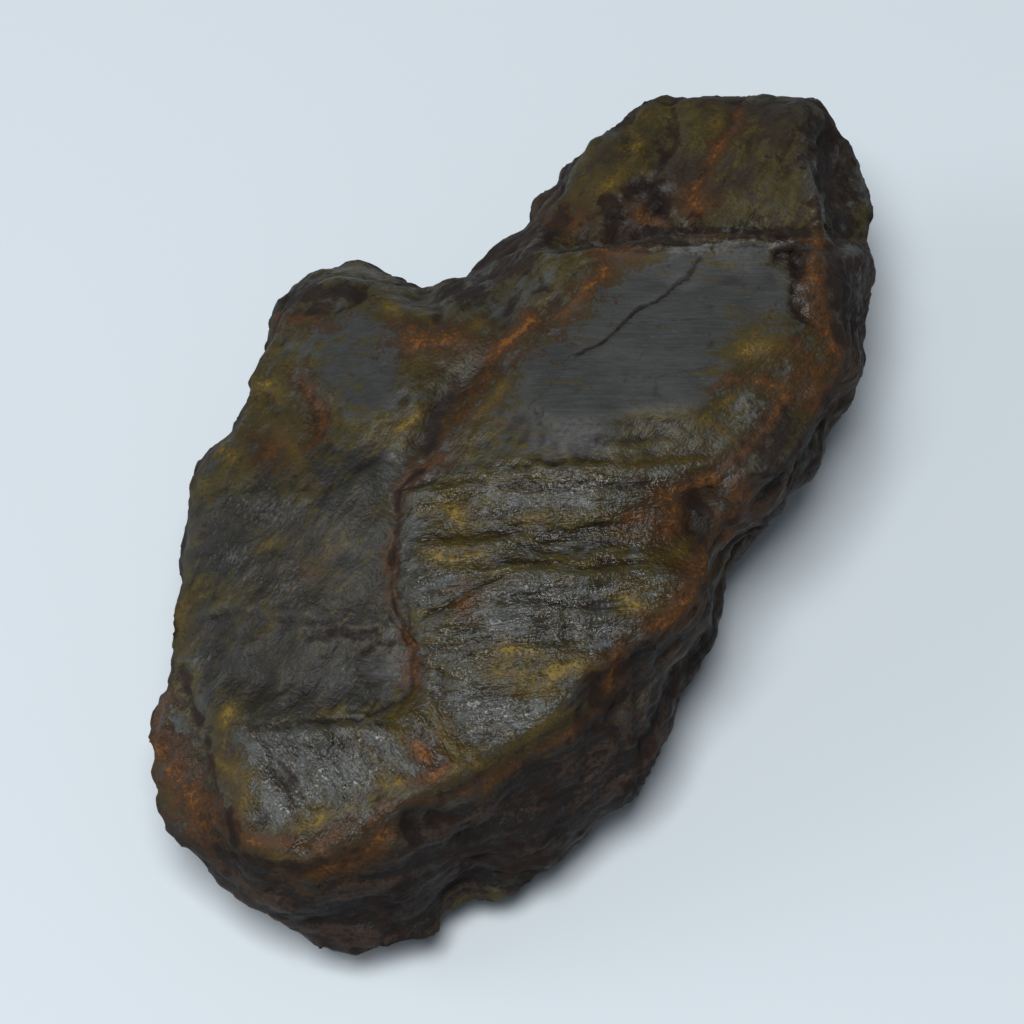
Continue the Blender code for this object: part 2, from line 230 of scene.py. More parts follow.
# Heights and depths of the relief, and the pitch of the sheets, in millimetres.
FLATTENED, MOST_FLATTENED = 0.75, 0.6  # the share of a facet's bumps that is taken off, and the most
LUMP_HEIGHT, CHIP_HEIGHT, SMALL_CHIP_HEIGHT, GRAIN_HEIGHT, SLATE_HEIGHT = 0.08, 0.27, 0.18, 0.05, 0.02
SHEET_PITCH, SHEET_STEP, THIN_SHEET_STEP = 0.9, 0.26, 0.05
WALL_SMALL_CHIP, WALL_CHIP, HIDDEN_CHIP = 0.22, 0.15, 0.3
LEDGE_LIP, TRENCH_DEPTH, SEAM_DEPTH, CRACK_DEPTH = 0.10, 0.32, 0.11, 0.12
SEAM_WIDTH, CRACK_WIDTH = 0.14, 0.13
CRUMB, CRUMB_CHIP, CRUMB_SMALL_CHIP = 0.06, 0.35, 0.25
REST_ZONE = 0.3  # nothing is raised this near the surface that the stone lies on

# Which way the grain of each facet runs, in degrees from +X in plan.
FLANK_GRAIN, NOSE_GRAIN, TERRACE_GRAIN, BLOCK_GRAIN, SLATE_GRAIN = 72, -38, 29, 84, 23


def lumps(places, size, layer=0):
    """Smooth noise from -1 to 1 with lumps of this size. Each layer has lumps of its own."""
    return np.array([noise.noise(p) for p in (places / size + 3.7 * layer).tolist()])


def chips(places, size, lean, layer=0):
    """The height of flat chips of this size, each at a level of its own and with a lean of its own."""
    heights = []
    for place in (places / size + 3.7 * layer).tolist():
        middle = noise.voronoi(place)[1][0]
        own = noise.cell_vector(middle * 97) - Vector((0.5, 0.5, 0.5))
        slope = own.y * (place[0] - middle.x) + own.z * (place[1] - middle.y)
        heights.append(0.5 * own.x + lean * slope)
    return np.array(heights)


def along_grain(places, degrees, stretch):
    """Places in axes that run this many degrees from +X in plan, drawn together along the first."""
    turn = math.radians(degrees)
    run = places[:, 0] * math.cos(turn) + places[:, 1] * math.sin(turn)
    side = places[:, 1] * math.cos(turn) - places[:, 0] * math.sin(turn)
    return np.stack([run / stretch, side, places[:, 2]], axis=1)


def inside(spots, outline, edge=0.6):
    """1 inside an outline and 0 outside it, smooth over its edge."""
    closed = list(outline) + [outline[0]]
    distance, _ = line_offset(spots, closed)
    within = np.zeros(len(spots), bool)
    for (ax, ay), (bx, by) in zip(closed, closed[1:]):
        if ay != by:
            crosses = (spots[:, 1] > ay) != (spots[:, 1] > by)
            within ^= crosses & (spots[:, 0] < ax + (spots[:, 1] - ay) * (bx - ax) / (by - ay))
    return ease(-edge, edge, np.where(within, distance, -distance))


def along_line(spots, line, width):
    """1 on a line, and a third of that at this distance from it."""
    return np.exp(-((line_offset(spots, line)[0] / width) ** 2))


def neighbours_mean(obj, values, passes):
    """Each corner's value averaged with its neighbours', this many times."""
    pairs = np.empty(len(obj.data.edges) * 2, int)
    obj.data.edges.foreach_get("vertices", pairs)
    first, second = pairs.reshape(-1, 2).T
    number = np.bincount(pairs, minlength=len(values)).astype(float)
    for _ in range(passes):
        for column in values.T if values.ndim > 1 else [values]:
            total = np.bincount(first, column[second], len(column))
            total += np.bincount(second, column[first], len(column))
            column[:] = 0.5 * column + 0.5 * total / number
    return values


places, normals = corners(stone)
soft_normals = neighbours_mean(stone, normals.copy(), 12)
soft_normals /= np.linalg.norm(soft_normals, axis=1)[:, None]
spots = seen(places)
wander = np.stack([lumps(places, 1.6, 1), lumps(places, 1.6, 2)], axis=1) * 0.5
wander += np.stack([lumps(places, 0.5, 3), lumps(places, 0.5, 4)], axis=1) * 0.15
ragged = spots + wander
facing = ease(0.05, 0.35, soft_normals @ np.array(back))
hidden = 1 - facing
wall = 1 - ease(0.45, 0.8, soft_normals[:, 2] + 0.12 * lumps(places, 2.5, 5))
wall = np.maximum(wall, inside(ragged, FRONT_WALL) * facing)

ledge_away, ledge_side = line_offset(spots + 0.25 * wander, LEDGE)
below_ledge = 1 - ease(-0.15, 0.15, ledge_away * ledge_side) * (spots[:, 1] > 11)
flat_faces = np.maximum.reduce([inside(ragged, face) for face in FLAT_FACES])
flat_faces *= facing * below_ledge
nose_right = inside(ragged, NOSE_RIGHT) * facing
nose = inside(ragged, NOSE) * facing
terraces = np.maximum(inside(ragged, TERRACES) * facing, nose_right)
flank = inside(ragged, FLANK) * facing
back_block = inside(ragged, BACK_BLOCK) * facing

GRAIN = (  # where, which way, and how far it is drawn out
    (flank, FLANK_GRAIN, 4.0), (nose, NOSE_GRAIN, 4.0), (terraces, TERRACE_GRAIN, 6.0),
    (back_block, BLOCK_GRAIN, 3.0), (flat_faces, TERRACE_GRAIN, 6.0),
)
grain = along_grain(places, 60, 1.5)
for where, degrees, stretch in GRAIN:
    grain[where > 0.5] = along_grain(places, degrees, stretch)[where > 0.5]
grain = np.where(wall[:, None] > 0.5, places * (0.25, 0.25, 1), grain)
lively = np.maximum.reduce([terraces, nose, 0.7 * wall, 0.8 * hidden])
rough = (0.65 + 0.35 * lively) * (1 - 0.85 * flat_faces)

height = np.zeros(len(places))
for face in FLAT_FACES:  # a facet is pulled most of the way to its own flat plane
    here = inside(spots, face, 0.7) * facing * below_ledge
    middle = here @ places / here.sum()
    offset = (places - middle) * here[:, None]
    across = np.linalg.eigh(offset.T @ offset)[1][:, 0]
    outwards = across * np.sign(across @ np.array(back))
    bump = np.clip((places - middle) @ outwards, -MOST_FLATTENED, MOST_FLATTENED)
    height -= FLATTENED * here * bump

# Lumps, then chips of two sizes and fine grain, which are drawn out along each facet.
height += rough * LUMP_HEIGHT * lumps(places, 2.6, 6)
height += rough * CHIP_HEIGHT * chips(grain, 1.5, 0.9, 7)
height += rough * SMALL_CHIP_HEIGHT * chips(grain + wander.repeat([2, 1], axis=1) * 0.3, 0.6, 1.0, 8)
height += rough * GRAIN_HEIGHT * lumps(grain, 0.4, 9)
height += SLATE_HEIGHT * flat_faces * lumps(places, 2.5, 16)

# The sheets: the walls stand further in or out from one level to the next.
level = (places[:, 2] + 1.2 * lumps(places, 9, 12) + 0.08 * places[:, 0]) / SHEET_PITCH
sheet = np.floor(level)
plan = places * (1, 1, 0)
sheet_out = [lumps(plan + 4.1 * s[:, None], 5.0, 13) for s in (sheet, sheet + 1)]
step = sheet_out[0] + (sheet_out[1] - sheet_out[0]) * ease(0.8, 1, level - sheet)
height += wall * SHEET_STEP * step
thin_sheets = np.sin(level * 2 * math.pi * 3 + 3 * lumps(places, 2, 14))
height += wall * THIN_SHEET_STEP * thin_sheets
height += wall * (WALL_SMALL_CHIP * chips(places, 0.7, 1.0, 19) + WALL_CHIP * chips(places, 1.7, 0.9, 28))

# The ledge's lip, the trench at its foot, and chips on the sides that the camera doesn't see.
ends = ease(-0.5, 1.5, spots[:, 0] - LEDGE[0][0]) * ease(-0.5, 1.0, LEDGE[-1][0] - spots[:, 0])
height += facing * ends * LEDGE_LIP * np.exp(-ledge_away / 0.25) * (ledge_side < 0)
foot = facing * ends * np.exp(-(((ledge_away - 0.7) / 0.7) ** 2)) * (ledge_side > 0)
height -= TRENCH_DEPTH * foot
height += HIDDEN_CHIP * hidden * ease(0.5, 2.0, places[:, 2]) * chips(places, 2.4, 0.9, 27)

# The seam and the crack, which open and close along their length.
seam_away, seam_side = line_offset(spots + 0.5 * wander, SEAM)
crack_away, crack_side = line_offset(spots + 0.25 * wander, CRACK)
FAINT_LINES = [  # hairlines beside the crack, which have no depth of their own
    [(3.2, 7.6), (2.4, 6.6), (1.0, 4.9), (0.3, 3.9)], [(4.0, 3.8), (5.4, 6.4), (6.6, 8.2)],
    [(10.9, 12.2), (11.2, 9.8), (11.0, 8.8)], [(2.2, 6.0), (6.0, 6.3), (9.6, 6.9)],
    [(4.4, 8.9), (9.0, 9.4)], [(-3.6, -5.8), (-2.6, -6.6), (-2.8, -7.8)],
    [(-12.2, -10.5), (-12.0, -11.2), (-11.3, -11.7), (-10.7, -11.5), (-10.2, -11.1)],
    [(-3.0, -8.6), (-2.4, -9.4), (-1.4, -10.0), (-1.0, -10.4)], [(-0.9, -9.3), (-0.5, -10.0), (0.2, -10.4)],
    [(-6.6, -10.2), (-6.2, -11.0), (-5.4, -11.6)], [(-9.0, -10.4), (-8.6, -11.4), (-7.6, -12.0)],
    [(10.2, 5.6), (10.9, 5.0), (11.8, 5.3)], [(10.9, 5.0), (10.8, 4.2)],
    [(-14.4, -0.6), (-12.6, -1.4), (-11.4, -1.2)], [(-9.8, -6.4), (-8.4, -7.6), (-8.0, -8.8)],
]
hairline = np.minimum.reduce([line_offset(spots + 0.25 * wander, line)[0] for line in FAINT_LINES])
opening = 0.5 + 0.5 * lumps(places, 1.8, 23)
height -= facing * SEAM_DEPTH * opening * np.exp(-((seam_away / SEAM_WIDTH) ** 2))
height -= facing * CRACK_DEPTH * opening * np.exp(-((crack_away / CRACK_WIDTH) ** 2))

STEPS = [  # low steps: a line, how far the side on its right stands up, and how far that reaches
    ([(-3.7, -5.0), (-2.0, -3.9), (-0.6, -3.2), (1.0, -2.8), (4.0, -2.8), (8.2, -2.7)], 0.24, 1.3),
    ([(1.9, 3.9), (5.5, 3.9), (9.0, 4.0)], 0.10, 0.4),
    ([(4.5, 3.3), (6.5, 3.3), (9.2, 3.6)], 0.10, 0.4),
    ([(2.0, 2.3), (6.0, 2.2), (9.0, 2.5)], 0.22, 0.7),
    ([(-4.4, 1.1), (-2.6, 1.1), (-0.8, 1.3), (1.4, 0.9), (3.8, 1.3), (6.4, 1.0)], 0.22, 1.0),
    ([(5.0, -0.5), (2.4, -0.7), (0.0, -0.6), (-2.8, -0.7)], 0.12, 0.9),
    ([(-4.2, -1.5), (-2.6, -1.5), (-0.8, -1.4)], 0.14, 0.6),
    ([(0.6, -1.9), (2.6, -2.1), (5.0, -1.7)], 0.14, 0.5),
    ([(-1.8, -4.8), (1.0, -4.5), (4.6, -4.6)], 0.12, 0.7),
    ([(-1.4, -6.4), (1.4, -6.4), (4.9, -6.7)], 0.16, 0.5),
    ([(1.5, -7.3), (3.9, -7.2)], 0.14, 0.4),
    ([(-7.2, -5.6), (-9.0, -5.3), (-11.2, -5.1), (-13.0, -4.7), (-14.6, -5.0)], 0.16, 1.4),
    ([(-13.8, 0.6), (-12.0, 1.0), (-9.4, 0.8), (-7.6, 1.6)], 0.10, 1.2),
    ([(-12.9, -2.8), (-11.6, -2.0), (-10.6, -2.4), (-9.8, -4.0)], 0.08, 0.9),
    ([(-13.0, -10.2), (-10.5, -10.5), (-8.0, -10.1), (-5.6, -10.3)], 0.18, 0.8),
    ([(-3.2, -7.9), (-3.0, -9.4), (-2.2, -10.6), (-1.4, -11.6)], -0.20, 0.7),
    ([(2.3, -5.2), (2.1, -6.9)], 0.14, 0.5),
    ([(5.9, 19.2), (5.7, 17.2), (4.4, 15.4)], -0.26, 1.0),
    ([(7.9, 19.6), (8.0, 17.6), (6.8, 16.0)], -0.30, 1.1),
    ([(10.9, 19.4), (10.0, 17.4), (8.7, 15.4)], -0.34, 1.2),
    ([(14.0, 19.0), (13.9, 17.2), (14.3, 15.4), (15.0, 13.6)], 0.30, 0.6),
    ([(-6.8, 10.8), (-7.3, 9.9), (-8.8, 9.4), (-10.6, 9.4)], -0.12, 0.6),
    ([(4.6, -7.4), (4.9, -8.6), (4.4, -9.8), (5.0, -11.0), (4.0, -12.6)], 0.28, 0.6),
    ([(5.6, -7.2), (5.7, -8.6), (5.6, -9.8), (6.0, -11.2), (5.4, -13.0)], 0.30, 0.6),
    ([(6.7, -6.2), (6.5, -8.0), (6.4, -9.6), (6.7, -11.0), (6.4, -12.2)], 0.24, 0.5),
]
for line, rise, reach in STEPS:
    away, side = line_offset(spots + 0.5 * wander, line)
    height += facing * rise * np.exp(-((away / reach) ** 2)) * ease(-0.12, 0.12, -away * side)

CRUMBLING = 10  # how many of the hollows crumble, from the first
HOLLOWS = [  # a line, how wide and how deep
    ([(-16.6, -9.0), (-16.2, -11.2), (-15.2, -13.2), (-14.2, -15.0)], 0.6, 0.0),
    ([(-10.2, -16.0), (-9.2, -15.8), (-8.0, -15.1), (-6.6, -14.8), (-5.9, -15.0)], 0.5, 0.05),
    ([(8.3, 0.6), (8.8, 0.0), (8.6, -0.6)], 0.5, 0.1),
    ([(9.4, 0.9), (9.7, 0.1), (10.2, -0.4)], 0.7, 0.05),
    ([(13.2, 12.3), (13.7, 12.2), (13.6, 11.8)], 0.35, 0.3),
    ([(13.6, 11.2), (13.5, 10.0), (14.0, 9.0)], 0.25, 0.15),
    ([(6.6, 15.6), (7.1, 14.6)], 0.6, 0.3),
    ([(4.7, 14.6), (4.9, 13.5)], 0.6, 0.25),
    ([(8.2, 13.7), (9.2, 13.7)], 0.6, 0.25),
    ([(15.2, 17.7), (15.6, 15.8), (15.6, 13.9)], 0.8, 0.4),
    ([(-15.9, -7.6), (-15.5, -9.0), (-14.9, -10.4), (-14.7, -11.8), (-14.4, -13.4)], 0.35, 0.2),
    ([(-10.2, 6.6), (-9.7, 5.5), (-9.2, 4.8), (-9.1, 3.8)], 0.3, 0.2),
    ([(-6.6, -7.6), (-5.9, -7.7)], 0.8, 0.2),
    ([(-0.8, 7.0), (-2.6, 6.2), (-3.6, 4.8), (-4.4, 3.0)], 0.6, 0.22),
    ([(-3.7, 9.5)], 0.5, 0.35),
    ([(-3.5, -14.7)], 0.5, 0.35),
    ([(-4.9, -15.2)], 0.5, 0.3),
    ([(-11.6, -12.3), (-11.0, -13.1), (-10.3, -14.1)], 0.15, 0.15),
    ([(0.9, 11.6), (2.0, 10.2), (1.2, 9.6)], 0.5, 0.2),
]
for line, width, depth in HOLLOWS:
    height -= facing * depth * along_line(ragged, line, width)
crumbling = [along_line(ragged, line, 1.5 * width) for line, width, _ in HOLLOWS[:CRUMBLING]]
pitted = np.maximum(np.maximum.reduce(crumbling) * facing, 0.8 * foot)
height += pitted * (CRUMB * lumps(places, 0.4, 15) + CRUMB_CHIP * chips(places, 0.9, 1.0, 17))
height += pitted * CRUMB_SMALL_CHIP * chips(places, 0.45, 1.0, 18)

SWELLS = [  # a place in the view, how wide and how high
    ((-14.2, 3.2), 1.8, 0.5), ((-15.5, -0.3), 1.8, 0.4), ((-15.6, -16.0), 1.8, 0.5),
    ((-13.6, -18.0), 1.3, 0.3), ((8.9, -0.1), 0.8, 0.45), ((5.8, -13.5), 1.7, 0.5),
    ((7.2, -11.4), 1.0, 0.15), ((-11.4, 9.5), 1.0, 0.3), ((-0.8, 13.0), 0.8, 0.35),
    ((16.4, 17.1), 1.0, 0.35), ((7.0, 19.8), 1.1, 0.25), ((16.7, 6.8), 1.0, 0.25),
    ((12.4, -0.3), 1.0, 0.2), ((17.0, 13.6), 1.6, -0.45), ((-4.2, 10.7), 1.0, -0.3),
    ((-6.0, -20.6), 1.4, -0.4), ((8.2, -8.2), 1.2, -0.35), ((12.3, 20.0), 1.1, -0.35),
    ((0.7, -17.4), 0.8, -0.3), ((2.0, 15.6), 0.6, -0.3),
]
for spot, width, rise in SWELLS:
    height += rise * along_line(spots, [spot], width)
height = neighbours_mean(stone, height, 1)
height = np.where(places[:, 2] < REST_ZONE, np.minimum(height, 0), height)
places = places + soft_normals * height[:, None]
low, high = (np.array(c) / MM for c in cad_box)
places = np.clip(places, low, high)
move_corners(stone, places)


# ---- The stone's stains ----
# Iron has stained it rust-orange and ochre along its rims, seam and creases, and has glazed wide parts
# of it olive. Hollows hold dark brown crust, rubbed edges are pale (partly as painted highlight), and
# the walls are brown all round. A few brown marks are painted shade and a painted shadow line, and
# many pale marks are painted highlights and glints.
# Each stain is laid on the mesh as a named value from 0 to 1.

STAINS = {  # lines on the main face, how wide each is and how strong
    "rust": [
        ([(4.6, 11.9), (4.1, 11.1), (3.5, 10.4), (2.8, 9.9), (2.2, 9.4)], 0.25, 1.0),
        ([(0.8, 9.3), (0.3, 8.6), (-0.2, 8.0), (-0.9, 7.4)], 0.3, 1.1),
        ([(4.0, 11.0), (2.4, 9.4), (1.2, 8.6), (-1.2, 6.6), (-2.4, 4.6)], 0.7, 0.45),
        ([(-2.0, 5.3), (-3.0, 4.0), (-3.3, 3.0), (-4.2, 2.1), (-5.2, 1.5)], 0.4, 0.7),
        ([(-4.9, -6.2), (-4.7, -7.0), (-4.9, -8.0)], 0.4, 0.8),
        ([(-5.0, 8.3), (-4.0, 8.1), (-2.9, 8.2)], 0.6, 0.85),
        ([(-10.9, 9.1), (-9.8, 9.3), (-8.8, 9.1)], 0.4, 0.7),
        ([(-10.2, 6.6), (-9.7, 5.5), (-9.2, 4.8), (-9.1, 3.8), (-9.7, 3.1)], 0.35, 0.7),
        ([(14.4, 12.6), (14.6, 11.0), (14.7, 9.8), (15.2, 8.6), (15.6, 7.6)], 0.6, 0.9),
        ([(15.7, 6.7), (14.5, 5.8), (14.0, 6.8)], 0.9, 0.7),
        ([(13.0, 5.6), (12.5, 4.6), (11.8, 3.8), (11.2, 3.0), (10.2, 2.2)], 0.28, 1.2),
        ([(10.2, 2.1), (9.2, 1.5), (8.2, 1.2), (7.0, 0.8)], 0.3, 1.1),
        ([(10.6, 1.6), (11.1, 0.4), (10.4, -0.8)], 0.9, 0.75),
        ([(9.4, 5.8), (10.4, 6.3), (11.6, 6.2), (12.8, 6.0)], 0.15, 1.1),
        ([(13.8, 7.4), (14.6, 6.2), (14.4, 5.0)], 0.8, 0.7),
        ([(7.3, 0.6), (7.7, 0.0), (7.6, -0.7)], 0.6, 1.1),
        ([(8.0, 0.7), (9.2, 0.6), (9.9, -0.6), (9.3, -1.6)], 0.6, 0.7),
        ([(5.6, -0.3), (6.8, -0.4)], 0.6, 0.7),
        ([(9.2, -2.0), (8.7, -2.8), (8.5, -3.8), (8.1, -4.6), (7.0, -5.3)], 0.55, 1.0),
        ([(5.0, -7.0), (4.6, -7.5), (4.3, -8.5)], 0.45, 1.2),
        ([(4.1, -9.2), (2.8, -10.4), (1.2, -11.4), (-0.6, -12.6), (-2.6, -13.4)], 0.35, 0.75),
        ([(-2.3, -4.2), (-2.0, -4.6)], 0.4, 0.9),
        ([(-4.4, -11.0), (-4.0, -11.6)], 0.3, 1.3),
        ([(-4.6, -12.8), (-3.6, -12.4), (-3.2, -12.1)], 0.25, 1.1),
        ([(-6.2, -14.2), (-4.8, -13.9), (-3.2, -13.6), (-1.0, -13.1)], 0.25, 0.7),
        ([(-5.8, -15.2), (-6.8, -16.0), (-7.8, -16.5), (-9.2, -16.9), (-10.0, -17.2)], 0.45, 1.0),
        ([(-10.4, -17.3)], 0.45, 0.8),
        ([(-16.9, -10.6), (-16.2, -12.0), (-15.4, -13.4), (-14.4, -14.7)], 0.75, 0.9),
        ([(-16.6, -9.0), (-16.9, -10.4)], 0.4, 0.8),
        ([(-13.3, -14.6), (-12.8, -15.4), (-11.4, -15.9), (-10.6, -16.0)], 0.35, 0.8),
        ([(10.8, 19.3), (10.6, 18.3), (9.9, 17.5), (9.3, 16.3), (8.6, 15.5)], 0.28, 0.8),
        ([(8.5, 15.3), (8.9, 14.8)], 0.55, 1.0),
        ([(6.1, 14.3), (6.6, 13.8), (5.9, 13.2), (5.0, 12.6)], 0.5, 0.9),
        ([(4.2, 12.4), (5.2, 12.5)], 0.4, 1.0),
        ([(2.0, 13.9), (3.2, 14.0)], 0.7, 0.6),
        ([(-11.4, 2.9)], 0.6, 0.8),
        ([(11.2, 6.2), (12.2, 6.2)], 0.35, 0.8),
        ([(-5.4, -5.6), (-5.9, -3.0), (-5.5, 0.0), (-5.3, 1.2)], 0.25, 0.75),
        ([(-10.2, -16.0), (-9.2, -15.8), (-8.0, -15.1), (-6.6, -14.8), (-5.9, -15.0)], 0.35, 0.7),
    ],
    "ochre": [
        ([(-0.3, -6.8), (1.1, -6.6)], 0.35, 1.2),
        ([(4.0, -8.5), (2.6, -9.6), (1.0, -10.6), (-0.8, -11.9), (-2.2, -12.3)], 0.22, 0.9),
        ([(-6.0, -13.0), (-5.0, -12.9), (-3.6, -12.5), (-2.4, -12.2)], 0.3, 1.2),
        ([(-5.7, -9.7), (-5.0, -10.5), (-4.2, -11.4)], 0.2, 0.8),
        ([(8.4, 2.5), (6.4, 2.2), (4.2, 2.2)], 0.2, 0.6),
        ([(13.3, 7.6), (12.2, 7.0), (11.0, 6.2), (9.8, 4.8)], 0.3, 0.7),
        ([(-0.3, -7.7), (0.9, -7.9)], 0.4, 1.2),
        ([(1.7, -8.0), (2.6, -7.4), (4.1, -7.5)], 0.45, 1.1),
        ([(5.5, -4.3), (6.4, -4.7), (7.5, -4.7)], 0.35, 1.3),
        ([(8.1, -1.8), (8.9, -2.4)], 0.5, 1.3),
        ([(7.0, 0.4), (7.5, -0.2), (7.8, -0.8)], 0.35, 0.9),
        ([(9.0, 4.4), (10.2, 3.6), (10.8, 3.2)], 0.3, 0.8),
        ([(-3.7, -1.9), (-2.8, -2.3), (-1.5, -2.0)], 0.35, 1.0),
        ([(-3.0, 0.1), (-2.6, -0.2)], 0.5, 0.9),
        ([(0.8, -0.4), (1.5, -0.3)], 0.3, 0.7),
        ([(8.6, 1.3), (10.2, 2.3)], 0.35, 0.8),
        ([(11.3, 7.8), (12.8, 7.9), (13.6, 7.6)], 0.55, 0.9),
        ([(12.0, 6.0), (13.2, 5.9)], 0.4, 1.1),
        ([(10.4, 2.9), (11.4, 3.6)], 0.35, 0.7),
        ([(14.5, 12.6), (14.4, 11.8)], 0.35, 0.8),
        ([(-3.8, -9.6), (-3.3, -10.6), (-2.4, -11.8)], 0.4, 1.0),
        ([(-5.4, -10.5), (-4.6, -11.2)], 0.35, 0.9),
        ([(-2.4, -12.0), (-0.9, -12.2)], 0.45, 1.0),
        ([(-5.2, -12.9), (-3.9, -12.6)], 0.35, 1.0),
        ([(-10.4, -16.1), (-9.2, -15.9), (-8.0, -15.3), (-6.6, -15.0), (-5.8, -15.1)], 0.35, 0.7),
        ([(-12.8, -15.4), (-11.4, -15.8)], 0.4, 0.8),
        ([(-11.8, -15.8), (-10.8, -16.7), (-9.4, -17.0)], 0.35, 1.3),
        ([(-8.6, -16.5), (-7.3, -16.1)], 0.3, 1.2),
        ([(-7.2, -16.1), (-6.6, -15.6)], 0.35, 0.9),
        ([(-13.4, -9.5), (-13.7, -10.1)], 0.3, 1.2),
        ([(-14.1, -11.9), (-13.2, -12.2), (-12.6, -12.6)], 0.35, 1.0),
        ([(-12.6, -12.6), (-12.5, -13.4), (-12.9, -14.2), (-13.0, -14.9)], 0.3, 1.0),
        ([(-10.2, -15.2), (-9.4, -14.8), (-8.9, -14.2)], 0.3, 1.0),
        ([(-16.4, -13.2), (-16.0, -13.8)], 0.3, 1.2),
        ([(-11.1, 3.5), (-10.5, 3.0)], 0.55, 1.1),
        ([(-13.6, 2.9), (-13.2, 2.5)], 0.55, 1.0),
        ([(-12.0, 6.1), (-11.3, 5.9)], 0.5, 1.0),
        ([(-5.3, 4.0), (-4.5, 4.8)], 0.25, 1.0),
        ([(-9.4, -2.7), (-8.7, -2.9)], 0.35, 0.6),
        ([(-11.6, -1.4)], 0.45, 0.55),
        ([(-12.2, -5.6), (-11.7, -5.3)], 0.4, 0.55),
        ([(-5.9, 9.7), (-5.4, 9.5)], 0.35, 1.0),
        ([(-4.3, 9.6), (-3.9, 9.1)], 0.35, 1.0),
        ([(-2.8, 8.2), (-1.7, 8.8)], 0.3, 1.0),
        ([(-4.2, 7.3)], 0.45, 0.9),
        ([(-1.7, 4.8), (-1.2, 5.3), (-0.8, 5.6), (-0.5, 6.0)], 0.4, 1.0),
        ([(2.3, 9.3), (3.4, 10.2), (4.0, 11.2), (5.0, 12.0)], 0.3, 0.9),
        ([(0.2, 8.0), (0.9, 9.0)], 0.25, 0.8),
        ([(5.9, 19.0), (6.0, 17.6), (5.2, 16.3), (4.2, 15.2)], 0.45, 0.8),
        ([(3.0, 14.8), (3.6, 14.6)], 0.6, 0.7),
        ([(9.9, 19.1), (9.6, 18.1)], 0.35, 0.7),
        ([(8.6, 14.5), (9.6, 14.3)], 0.5, 0.7),
        ([(2.6, 12.4), (3.8, 12.2)], 0.35, 0.7),
        ([(5.4, 12.1), (7.0, 12.4)], 0.25, 0.8),
        ([(0.2, -11.4), (1.6, -10.7), (2.6, -10.0)], 0.35, 0.7),
        ([(-15.7, -4.2), (-15.8, -6.1)], 0.4, 0.7),
    ],
    "olive": [
        ([(-12.5, 5.5), (-11.0, 4.6), (-9.8, 3.6)], 1.3, 0.6),
        ([(5.6, 4.2), (9.0, 4.3)], 0.35, 0.9),
        ([(5.0, 3.2), (9.6, 3.3)], 0.25, 0.9),
        ([(-14.6, 1.2), (-13.2, 1.6)], 0.9, 0.8),
        ([(-8.9, 4.8), (-7.6, 4.2), (-6.4, 3.6)], 0.7, 0.8),
        ([(-8.8, 2.4), (-7.6, 2.0)], 0.9, 0.5),
        ([(-4.0, 4.6), (-1.0, 4.0), (-1.6, 2.6)], 1.1, 0.7),
        ([(-0.5, 4.2), (0.4, 3.2)], 0.8, 0.6),
        ([(-2.7, -0.8), (1.0, -0.9), (5.0, -0.7), (7.6, -0.9)], 0.6, 1.0),
        ([(-3.7, -5.0), (-2.0, -3.8), (-0.6, -3.1), (1.0, -2.6), (4.0, -2.6), (7.5, -2.4)], 0.45, 1.1),
        ([(4.8, -1.9), (7.6, -2.0)], 0.6, 0.9),
        ([(0.5, 2.0), (2.2, 2.4), (5.0, 2.4), (9.6, 2.6)], 0.45, 1.0),
        ([(5.4, -3.7), (8.0, -4.2)], 0.6, 0.9),
        ([(2.4, -7.0), (4.6, -6.9)], 0.4, 0.9),
        ([(-1.5, -6.8), (2.0, -7.2)], 0.6, 0.8),
        ([(-0.6, -8.3), (3.2, -8.2)], 0.35, 0.6),
        ([(10.6, 8.2), (9.8, 6.8), (9.2, 5.2)], 0.8, 0.55),
        ([(11.0, 6.8), (10.2, 5.9)], 0.6, 0.9),
        ([(11.4, 7.9), (13.8, 7.2)], 0.9, 1.0),
        ([(1.2, 11.6), (3.8, 11.9)], 0.7, 0.8),
        ([(1.0, 9.8), (2.2, 11.2)], 0.6, 0.7),
        ([(-7.0, 10.2), (-6.0, 9.9)], 0.6, 0.9),
        ([(-11.6, 9.2), (-11.4, 7.8)], 0.5, 0.8),
        ([(-8.8, 11.7), (-7.2, 11.7)], 0.35, 0.9),
        ([(-14.0, -10.4), (-13.8, -11.8)], 0.6, 1.0),
        ([(-13.9, -12.6), (-12.8, -14.6)], 0.6, 1.0),
        ([(-9.8, -14.5), (-8.5, -14.0), (-6.4, -13.9), (-4.7, -13.5), (-3.2, -13.2)], 0.4, 1.3),
        ([(-12.6, -15.3), (-10.4, -15.6)], 0.5, 1.0),
        ([(-5.2, -9.2), (-4.6, -8.4)], 0.6, 0.8),
        ([(-9.0, -9.6), (-6.6, -9.6)], 0.6, 0.8),
        ([(-1.2, -12.2), (0.4, -11.3), (2.0, -10.3), (3.4, -9.5)], 0.25, 0.9),
        ([(3.0, 17.0), (4.0, 15.4), (2.8, 14.2)], 1.2, 0.7),
        ([(6.5, 19.6), (8.2, 19.0), (9.6, 17.0)], 1.2, 0.8),
        ([(8.5, 14.2), (11.5, 13.8), (14.6, 13.8)], 0.7, 1.1),
        ([(11.0, 17.2), (13.4, 17.6)], 0.9, 0.6),
        ([(-0.6, -18.2), (-2.6, -18.4)], 0.4, 0.6),
        ([(-9.0, -2.6), (-8.0, -1.2)], 0.9, 0.55),
        ([(-14.8, -3.6), (-13.6, -4.4)], 0.8, 0.8),
        ([(-11.0, 1.6), (-9.0, 0.0)], 0.8, 0.55),
    ],
    "brown": [
        ([(15.5, 12.4), (15.6, 10.5), (15.9, 8.4)], 0.7, 1.2),
